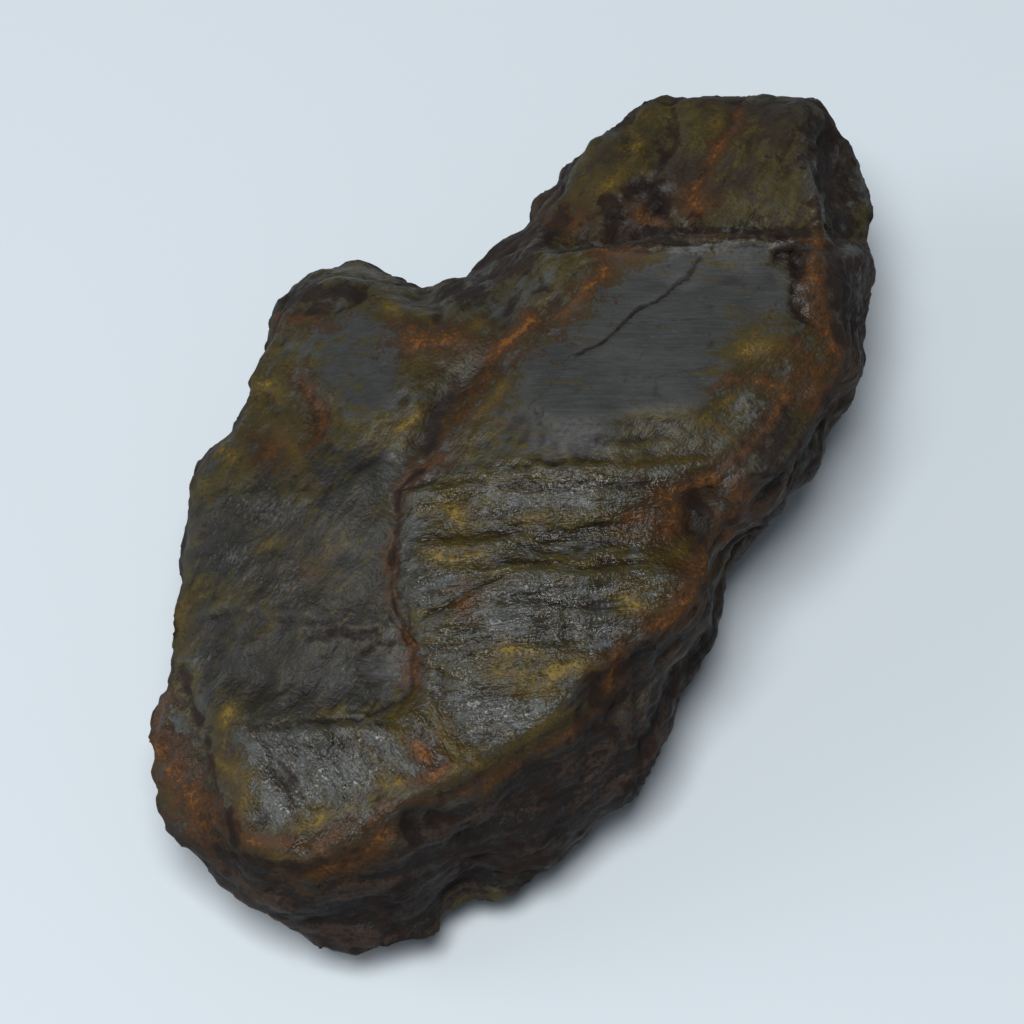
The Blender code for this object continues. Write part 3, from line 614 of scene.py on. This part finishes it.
        ([(-4.3, 2.1), (-5.3, 1.2), (-5.5, 0.0), (-5.6, -1.6), (-5.9, -2.6)], 0.2, 0.9),
        ([(-5.8, -3.4), (-5.4, -5.2)], 0.15, 0.7),
        ([(8.6, 0.7), (9.1, 0.0), (9.0, -1.0)], 0.7, 1.1),
        ([(11.6, 2.4), (12.4, 3.2), (13.1, 4.3)], 0.9, 1.15),
        ([(12.9, 12.5), (13.9, 12.5), (13.6, 11.6)], 0.3, 1.3),
        ([(13.5, 11.2), (13.4, 10.0), (13.9, 9.0)], 0.2, 1.1),
        ([(6.6, 15.4), (7.1, 14.8)], 0.6, 1.2),
        ([(5.4, 15.2), (5.9, 15.4)], 0.5, 0.9),
        ([(4.6, 14.8), (4.9, 13.6)], 0.55, 1.2),
        ([(8.3, 13.4), (9.3, 13.6)], 0.6, 1.1),
        ([(7.0, 17.6), (7.6, 16.6)], 0.5, 0.7),
        ([(15.0, 18.2), (14.9, 17.0), (15.4, 15.6), (15.8, 14.0)], 1.1, 1.3),
        # painted shadow line below the ledge
        ([(5.6, 13.0), (9.6, 13.35), (14.0, 13.45)], 0.3, 1.0),
        ([(-10.9, 10.0), (-9.4, 10.4), (-7.6, 10.6), (-7.2, 10.4)], 0.5, 1.0),
        ([(-10.3, 9.8), (-8.6, 9.8)], 0.5, 0.9),
        ([(-3.8, 9.5)], 0.4, 1.1),
        ([(-3.0, 10.6), (-1.6, 10.4)], 0.7, 1.0),
        ([(-1.6, 12.0), (-0.2, 12.6), (0.6, 13.2)], 0.9, 1.1),
        ([(-2.6, 11.1), (-1.0, 11.2), (0.4, 11.8), (1.6, 13.0), (2.2, 14.2)], 0.5, 1.0),
        # painted shade in the seam's trough
        ([(-3.0, 5.4), (-3.8, 4.2), (-4.1, 3.2)], 0.55, 0.9),
        # painted shade across the flank
        ([(-10.0, -6.0), (-8.0, -5.8), (-6.4, -5.6)], 0.5, 0.6),
        ([(-15.9, -7.6), (-15.2, -9.6), (-14.5, -11.6), (-13.9, -13.6), (-13.0, -15.6)], 0.35, 0.7),
        ([(-11.5, -12.3), (-10.2, -14.1)], 0.12, 1.0),
        ([(-10.9, -12.0), (-9.8, -13.6)], 0.12, 0.9),
        ([(-3.9, -14.7), (-3.0, -14.6)], 0.4, 1.1),
        ([(-5.2, -15.0), (-4.7, -15.5)], 0.45, 1.1),
        ([(-13.4, -16.2), (-11.6, -17.0)], 0.6, 0.9),
        ([(-7.3, -6.9), (-6.4, -6.4), (-5.5, -6.4)], 0.25, 0.9),
    ],
    # Pale marks: tan crust and lighter grey patches, and painted highlights and glints: the ledge's lit rim,
    # shiny facets, lit brows and ridges, and glints along the seam and the rims.
    "pale_and_highlight": [
        ([(6.6, 12.65), (9.0, 12.8), (12.0, 12.9), (14.2, 12.95)], 0.2, 1.1),
        ([(10.2, 5.2), (11.8, 5.4), (11.4, 4.6)], 0.7, 1.0),
        ([(9.4, 4.7), (10.4, 4.2)], 0.4, 0.8),
        ([(6.0, 1.9), (8.0, 1.95)], 0.25, 1.0),
        ([(-4.2, 0.7), (-3.6, 0.7)], 0.3, 1.0),
        ([(-0.8, 0.9), (1.0, 0.6), (3.2, 0.9)], 0.5, 0.7),
        ([(-1.0, -3.8), (1.8, -3.8)], 0.6, 0.7),
        ([(-1.0, -5.4), (1.6, -6.0), (4.0, -5.6)], 0.9, 0.7),
        ([(-2.0, -9.2), (0.0, -9.8), (2.4, -9.0)], 0.9, 0.7),
        ([(-1.6, -10.6), (-0.6, -10.9)], 0.6, 0.8),
        ([(-6.4, -10.7), (-5.2, -11.3)], 0.6, 1.2),
        ([(-11.8, -13.2), (-11.0, -14.2), (-9.8, -13.6)], 0.9, 0.9),
        ([(-9.5, -12.6), (-7.0, -12.6), (-5.4, -12.0)], 0.9, 0.7),
        ([(-12.4, -11.6), (-10.8, -12.2)], 0.7, 0.6),
        ([(-10.2, -16.0), (-9.2, -15.8), (-8.0, -15.1), (-6.6, -14.8), (-5.9, -15.0)], 0.4, 0.9),
        ([(1.7, 8.4)], 0.3, 1.1),
        ([(-0.9, 5.4)], 0.25, 1.1),
        ([(-6.8, -7.6), (-5.8, -7.6)], 0.7, 0.8),
        ([(-12.4, 0.2), (-11.0, 0.0)], 0.9, 0.5),
        ([(-13.2, -2.2)], 0.7, 0.6),
        ([(-10.8, -3.8), (-10.2, -3.0)], 0.7, 0.5),
        ([(-15.0, -7.2)], 0.6, 0.5),
        ([(13.8, 17.6), (14.1, 15.6), (14.8, 14.0)], 0.2, 0.9),
        ([(16.4, 12.6), (16.6, 10.5), (16.6, 8.5)], 0.4, 0.6),
        ([(4.2, -8.0), (4.9, -7.1)], 0.2, 1.1),
    ],
}

# The slate's grey runs on a little way below its flat face.
SLATE_FOOT = [(-1.2, 5.4), (-0.8, 3.6), (0.2, 2.7), (3.8, 2.7), (5.4, 3.8), (7.0, 5.0), (2.0, 6.0)]
# The trench behind the ledge lies below this height, this far round this spot, and is dark all over.
TRENCH_MIDDLE, TRENCH_REACH, TRENCH_TOP = (9.1, 12.95), (4.1, 0.75), 13.8
FAR = 2.0  # millimetres from a line past which the distance doesn't matter
# An edge that stands out this far is lightened, as wear and as painted highlight; one sunk in is darkened as
# painted shade.
EDGE_HEIGHT = 0.07  # how far a rubbed edge stands out, in millimetres
# How far each stain has run, as a multiple of its width.
SPREAD = {"rust": 1.4, "ochre": 1.65, "olive": 1.55, "brown": 0.9, "pale_and_highlight": 0.9}


def lay_on(obj, name, values):
    attribute = obj.data.attributes.new(name, "FLOAT", "POINT")
    attribute.data.foreach_set("value", values.astype(np.float32))


places, _ = corners(stone)
smoothed = neighbours_mean(stone, places.copy(), 6)
stands_out = ((places - smoothed) * soft_normals).sum(axis=1)
trench = (np.abs(spots - TRENCH_MIDDLE) < TRENCH_REACH).all(axis=1) & (places[:, 2] < TRENCH_TOP)
glazed = 0.35 + 0.5 * (1 - flat_faces) * (1 - flank)
crusted = np.maximum(wall, hidden) * ease(-0.2, 0.5, lumps(places, 3.0, 22)) * 0.6
elsewhere = {
    "rust": ease(0.1, 0.7, lumps(places, 4.0, 20)) * (0.25 * (1 - flat_faces) + 0.25 * hidden),
    "ochre": 0.6 * hidden * (1 - 0.7 * wall) * ease(0.15, 0.7, lumps(places, 2.2, 21)),
    "olive": glazed * (1 - 0.8 * wall) * ease(-0.3, 0.5, lumps(grain, 2.5, 24)),
    "brown": np.maximum(crusted, 0.7 * trench),
    "pale_and_highlight": 0.5 * hidden * ease(0.1, 0.6, lumps(places, 2.5, 25)),
}
drift = spots + 0.45 * wander
for name, marks in STAINS.items():
    spread = SPREAD[name]
    laid = np.maximum.reduce([
        strength * np.exp(-np.maximum(line_offset(drift, line)[0] / (spread * width) - 0.1, 0))
        for line, width, strength in marks
    ])
    laid *= (1 + 0.5 * lumps(places, 1.2, 26)) * ~trench
    lay_on(stone, name, np.maximum(laid * facing, elsewhere[name]))

FACETS = {  # where each facet, edge and line is, for the finish
    "slate": np.maximum(flat_faces, 0.85 * inside(ragged, SLATE_FOOT) * facing) * ~trench,
    "terraces": terraces,
    "flank": flank,
    "nose": np.maximum(nose, nose_right),
    "lively": np.maximum.reduce([terraces, nose, pitted, 0.8 * wall, 0.6 * hidden]),
    "hairline": np.clip(hairline, 0, FAR),
    "sheets": np.clip(0.5 + 0.9 * step + 0.2 * thin_sheets, 0, 1),
    "back_block": back_block,
    "wall": wall,
    "edge": np.clip(0.5 + stands_out / EDGE_HEIGHT, 0, 1),
    "seam_offset": np.clip(seam_away, 0, FAR) * seam_side,
    "crack_offset": np.clip(crack_away, 0, FAR) * crack_side,
}
for name, values in FACETS.items():
    lay_on(stone, name, values)


# ---- The stone's finish ----
# Satin corundum. Its slate-grey and olive faces are finely scratched and fibrous, so they catch the
# light in small glints, and more glints are painted on as pale specks; the rust, ochre and crust are
# duller, and the walls are brown and layered.


class Wire:
    """One value in a material. Arithmetic on wires adds Math nodes."""

    def __init__(self, tree, socket=None):
        self.tree, self.socket = tree, socket

    def node(self, kind, settings=None, inputs=None, output=0):
        """Adds a node, makes its settings, then its inputs, and gives one of its outputs."""
        made = self.tree.nodes.new("ShaderNode" + kind)
        for name, value in (settings or {}).items():
            setattr(made, name, value)
        for name, value in (inputs or {}).items():
            if isinstance(value, Wire):
                self.tree.links.new(value.socket, made.inputs[name])
            else:
                made.inputs[name].default_value = value
        return Wire(self.tree, made.outputs[output])

    def math(self, operation, a, b=0.0):
        return self.node("Math", {"operation": operation}, {0: a, 1: b})

    def __add__(self, other):
        return self.math("ADD", self, other)

    def __sub__(self, other):
        return self.math("SUBTRACT", self, other)

    def __rsub__(self, other):
        return self.math("SUBTRACT", other, self)

    def __mul__(self, other):
        return self.math("MULTIPLY", self, other)

    __radd__, __rmul__ = __add__, __mul__

    def magnitude(self):
        return self.math("ABSOLUTE", self)

    def between(self, low, high):
        """0 below low, 1 above high, and smooth between."""
        inputs = {"Value": self, "From Min": low, "From Max": high}
        return self.node("MapRange", {"interpolation_type": "SMOOTHSTEP"}, inputs)

    def mix(self, a, b):
        """Colour a where this is 0, and colour b where it is 1."""
        colours = {6: a if isinstance(a, Wire) else (*a, 1), 7: b if isinstance(b, Wire) else (*b, 1)}
        return self.node("Mix", {"data_type": "RGBA"}, {0: self, **colours}, output=2)


material = bpy.data.materials.new("iron_stained_corundum")
material.use_nodes = True
shader = material.node_tree.nodes["Principled BSDF"]
start = Wire(material.node_tree)
place = start.node("TexCoord", output=3)


def laid_on(name):
    return start.node("Attribute", {"attribute_name": name}, output=2)


rust, ochre, olive, brown, pale_and_highlight = (laid_on(n) for n in ("rust", "ochre", "olive", "brown", "pale_and_highlight"))
slate, terrace, front, block = (laid_on(n) for n in ("slate", "terraces", "nose", "back_block"))
wall_side, edge, left_flank = (laid_on(n) for n in ("wall", "edge", "flank"))
seam_offset, crack_offset, hair_offset = (laid_on(n) for n in ("seam_offset", "crack_offset", "hairline"))
lively, sheets = (laid_on(n) for n in ("lively", "sheets"))


def grain_axes(degrees, stretch, side_stretch=1.0):
    """The place in axes that run this many degrees from +X in plan, drawn together along the first."""
    return start.node("Mapping", {"vector_type": "TEXTURE"}, {
        "Vector": place, "Rotation": (0, 0, math.radians(degrees)), "Scale": (stretch, side_stretch, 1)})


def speckle(where, size_mm, detail=3.0):
    """Noise with lumps of this size."""
    return start.node("TexNoise", None, {
        "Vector": where, "Scale": 1 / (size_mm * MM), "Detail": detail, "Roughness": 0.6})


drawn_out = grain_axes(FLANK_GRAIN, 2.5)
for where, axes in (
    (front, grain_axes(NOSE_GRAIN, 3.0)), (terrace, grain_axes(TERRACE_GRAIN, 3.5)),
    (block, grain_axes(BLOCK_GRAIN, 2.5)), (wall_side, grain_axes(0, 4.0, 4.0)),
    (slate, grain_axes(SLATE_GRAIN, 3.0)),
):
    here = where.math("GREATER_THAN", where, 0.5)
    drawn_out = start.node("Mix", {"data_type": "VECTOR"}, {0: here, 4: drawn_out, 5: axes}, output=1)

coarse, medium, fine, sparks = (
    speckle(place, 2.4, 2.0), speckle(place, 0.8), speckle(place, 0.2), speckle(place, 0.15, 1.0))
streaks, fibres = speckle(drawn_out, 0.5), speckle(drawn_out, 0.13, 2.0)
scratches = speckle(grain_axes(SLATE_GRAIN, 14.0), 0.14, 2.0)

# Tiny flat chips, each with a height, a lean and a shine of its own.
TINY_CHIP = 0.32  # millimetres
chip = {"Vector": drawn_out, "Scale": 1 / (TINY_CHIP * MM)}
chip_middle = start.node("TexVoronoi", None, chip, output=2)
chip_own = start.node("TexVoronoi", None, chip, output=1)
from_middle = start.node("VectorMath", {"operation": "SUBTRACT"}, {0: drawn_out, 1: chip_middle})
leaning = start.node("VectorMath", {"operation": "SUBTRACT"}, {0: chip_own, 1: (0.5, 0.5, 0.5)})
chip_slope = {0: from_middle, 1: leaning}
chip_height = start.node("VectorMath", {"operation": "DOT_PRODUCT"}, chip_slope, output=1) * (1 / MM)
chip_shine = start.node("SeparateXYZ", None, {"Vector": chip_own}, output=0)


def stained(amount, noise):
    """Where a stain lies, with ragged edges."""
    return (amount + (noise - 0.5) * 2.2).between(0.25, 0.8)


def soaked(under, amount, noise, halo, body, heart):
    """A colour under a stain that turns from its halo to its heart as it gets stronger."""
    level = amount * (0.2 + noise * 1.6) + (noise - 0.5) * 0.9
    under = (level.between(0.15, 0.4) * 0.8).mix(under, halo)
    under = (level.between(0.45, 0.75) * 0.85).mix(under, body)
    return (level.between(0.9, 1.3) * 0.9).mix(under, heart)


# Colours, as linear light.
OLIVE, GREY, DARK_GREY = (0.050, 0.042, 0.016), (0.055, 0.059, 0.055), (0.022, 0.021, 0.017)
BLUE_SLATE, PALE_SLATE, SILVER = (0.028, 0.031, 0.034), (0.052, 0.055, 0.053), (0.100, 0.106, 0.102)
FLANK_GREY, FLANK_OLIVE, RUBBED_AND_HIGHLIT = (0.012, 0.013, 0.012), (0.012, 0.010, 0.005), (0.050, 0.046, 0.032)
BLOCK_OLIVE, BLOCK_BROWN = (0.028, 0.021, 0.010), (0.026, 0.012, 0.005)
WALL_BROWN, WALL_DARK = (0.045, 0.024, 0.015), (0.008, 0.005, 0.004)
DARK_BROWN, MAROON = (0.008, 0.004, 0.003), (0.019, 0.008, 0.004)
RUST_ORANGE, RUST, RUST_BROWN = (0.20, 0.074, 0.010), (0.080, 0.031, 0.006), (0.038, 0.017, 0.005)
OCHRE_YELLOW, GOLD = (0.21, 0.143, 0.012), (0.085, 0.054, 0.005)
OLIVE_BROWN, OLIVE_PALE, PAINTED_GLINT = (0.039, 0.028, 0.003), (0.086, 0.067, 0.009), (0.34, 0.36, 0.36)

# The clean faces and the walls.
colour = coarse.between(0.40, 0.62).mix(OLIVE, GREY)
colour = (streaks.between(0.45, 0.65) * 0.7).mix(colour, DARK_GREY)
slate_tone = (coarse * 0.45 + scratches * 0.55).between(0.32, 0.68)
colour = (slate * 0.9).mix(colour, slate_tone.mix(BLUE_SLATE, PALE_SLATE))
colour = (front * 0.7).mix(colour, streaks.between(0.4, 0.65).mix(GREY, PALE_SLATE))
flank_colour = (streaks * 0.5 + coarse * 0.5).between(0.4, 0.6).mix(FLANK_OLIVE, FLANK_GREY)
colour = (left_flank * 0.92).mix(colour, flank_colour)
colour = (block * 0.9).mix(colour, streaks.between(0.4, 0.65).mix(BLOCK_BROWN, BLOCK_OLIVE))
mottle = medium * 0.5 + streaks * 0.5
colour = (mottle.between(0.51, 0.60) * (0.8 - slate * 0.6)).mix(colour, FLANK_GREY)
layer = (sheets * 0.5 + 0.25 + (streaks - 0.5) * 1.0 + (fine - 0.5) * 1.4).between(0.35, 0.8)
colour = (wall_side * 0.97).mix(colour, layer.mix(WALL_DARK, WALL_BROWN))

# The olive glaze, the silvery spots (silver tone and painted sheen) and pitted spots, the painted
# glints, the rubbed edges, lighter partly as painted highlight, and painted shade in the hollows.
bare = (1 - wall_side) * (1 - slate)
glaze, crust_and_painted_shade = stained(olive, streaks), stained(brown, medium)
colour = (glaze * 0.92).mix(colour, medium.between(0.35, 0.65).mix(OLIVE_BROWN, OLIVE_PALE))
pits = (fine * 0.6 + streaks * 0.4).between(0.50, 0.60) * bare * 0.5
# Silver on the lively faces: partly their tone, partly painted sheen where they catch the light.
silver_tone_and_sheen = (1 - mottle.between(0.38, 0.48)) * lively * (1 - wall_side) * (0.87 - glaze * 0.27)
colour = silver_tone_and_sheen.mix(colour, SILVER)
colour = pits.mix(colour, DARK_GREY)
# The pale marks in silver: lighter patches, and painted highlights and glints.
colour = (stained(pale_and_highlight, fibres) * 0.7).mix(colour, SILVER)
# Painted glints: pale specks where the faces would glint under the lamp.
painted_glint = pale_and_highlight * 0.5 + lively * (medium * 2.6 + streaks * 2.6 - 2.4) + (sparks - 0.5) * 3.0
colour = (painted_glint.between(0.9, 1.5) * bare * (1 - block)).mix(colour, PAINTED_GLINT)
# Raised edges lighter: wear, and partly painted highlight.
colour = (edge.between(0.6, 1.0) * (1 - wall_side) * 0.35).mix(colour, RUBBED_AND_HIGHLIT)
# Sunken places darker: painted shade in the hollows.
colour = ((1 - edge.between(0.1, 0.5)) * 0.7).mix(colour, DARK_BROWN)

# The stains, then the dark lines of the hairlines, the crack and the seam.
grainy = medium * 0.6 + streaks * 0.5 + fine * 0.8 - 0.45
colour = soaked(colour, ochre, grainy, OLIVE_BROWN, GOLD, OCHRE_YELLOW)
colour = soaked(colour, rust, grainy, RUST_BROWN, RUST, RUST_ORANGE)
# Brown crust, and the painted shade and shadow lines among the brown marks.
colour = (crust_and_painted_shade * 0.9).mix(colour, coarse.between(0.4, 0.6).mix(DARK_BROWN, MAROON))
from_hairline = hair_offset + (medium - 0.5) * 0.2
colour = ((1 - from_hairline.between(0.01, 0.07)) * 0.45).mix(colour, DARK_BROWN)
from_crack = crack_offset.magnitude() + (medium - 0.5) * 0.4 + (fine - 0.5) * 0.25
colour = (1 - from_crack.between(0.0, 0.14)).mix(colour, DARK_BROWN)
from_seam = seam_offset.magnitude() + (fine - 0.5) * 0.2
colour = ((1 - from_seam.between(0.03, 0.16)) * medium.between(0.35, 0.6) * 0.8).mix(colour, DARK_BROWN)

# Faces with tiny chips shine most; the walls, the block and the stains are dull.
roughness = 0.44 - lively * 0.12 + wall_side * 0.4 + slate * 0.15 + block * 0.25 + left_flank * 0.08
roughness = roughness + (rust + ochre) * 0.12 + crust_and_painted_shade * 0.25 + (fine - 0.5) * 0.3
roughness = roughness - chip_shine.between(0.6, 0.9) * lively * 0.16

# What is too fine for the mesh, in millimetres.
relief = (medium - 0.5) * 0.11 + (fine - 0.5) * 0.06 + (streaks - 0.5) * 0.10 + chip_height * 0.38
relief = relief * (1 - slate * 0.7) * (0.5 + lively * 0.5)
relief = relief + (fibres - 0.5) * (0.03 + lively * 0.025 - slate * 0.025)
normal = start.node("Bump", None, {"Height": relief, "Strength": 1.0, "Distance": MM})

for name, value in (("Base Color", colour), ("Roughness", roughness), ("Normal", normal)):
    material.node_tree.links.new(value.socket, shader.inputs[name])

CORUNDUM_IOR, MIRRORING = 1.77, 0.20  # its worn surface mirrors less than a cut one would
shader.inputs["IOR"].default_value = CORUNDUM_IOR
shader.inputs["Specular IOR Level"].default_value = MIRRORING
stone.data.materials.append(material)

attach(stone, "root")
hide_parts("sapphire")


# ---- Floor and light ----
# A plain pale surface under an overcast sky, with one big soft lamp over the stone and a smaller one
# from the back left, so the main face shines and the near walls fall into shade.

FLOOR_SIZE, FLOOR_COLOUR, FLOOR_ROUGHNESS = 3.0, (0.81, 0.895, 0.96, 1), 0.6
SKY_COLOUR, SKY_STRENGTH = (0.85, 0.92, 1.0, 1), 0.12

bpy.ops.mesh.primitive_plane_add(size=FLOOR_SIZE)
floor = bpy.context.object
floor.name = "floor"
floor_material = bpy.data.materials.new("pale_surface")
floor_material.use_nodes = True
floor_shader = floor_material.node_tree.nodes["Principled BSDF"]
floor_shader.inputs["Base Color"].default_value = FLOOR_COLOUR
floor_shader.inputs["Roughness"].default_value = FLOOR_ROUGHNESS
floor.data.materials.append(floor_material)

LAMPS = [  # name, azimuth and elevation in degrees, distance and size in metres, power in watts
    ("above", 350, 78, 0.40, 0.18, 1.18),
    ("left", 290, 28, 0.50, 0.22, 0.45),
]
for name, azimuth, elevation, distance, size, power in LAMPS:
    lamp_data = bpy.data.lights.new(name, "AREA")
    lamp_data.size = size
    lamp_data.energy = power
    lamp = bpy.data.objects.new(name, lamp_data)
    a, e = math.radians(azimuth), math.radians(elevation)
    towards = Vector((math.sin(a) * math.cos(e), -math.cos(a) * math.cos(e), math.sin(e)))
    lamp.location = CAMERA_TARGET + towards * distance
    lamp.rotation_euler = towards.to_track_quat("Z", "Y").to_euler()
    bpy.context.scene.collection.objects.link(lamp)

world = bpy.data.worlds.new("overcast")
world.use_nodes = True
world.node_tree.nodes["Background"].inputs["Color"].default_value = SKY_COLOUR
world.node_tree.nodes["Background"].inputs["Strength"].default_value = SKY_STRENGTH
bpy.context.scene.world = world
bpy.context.scene.view_settings.view_transform = "Standard"
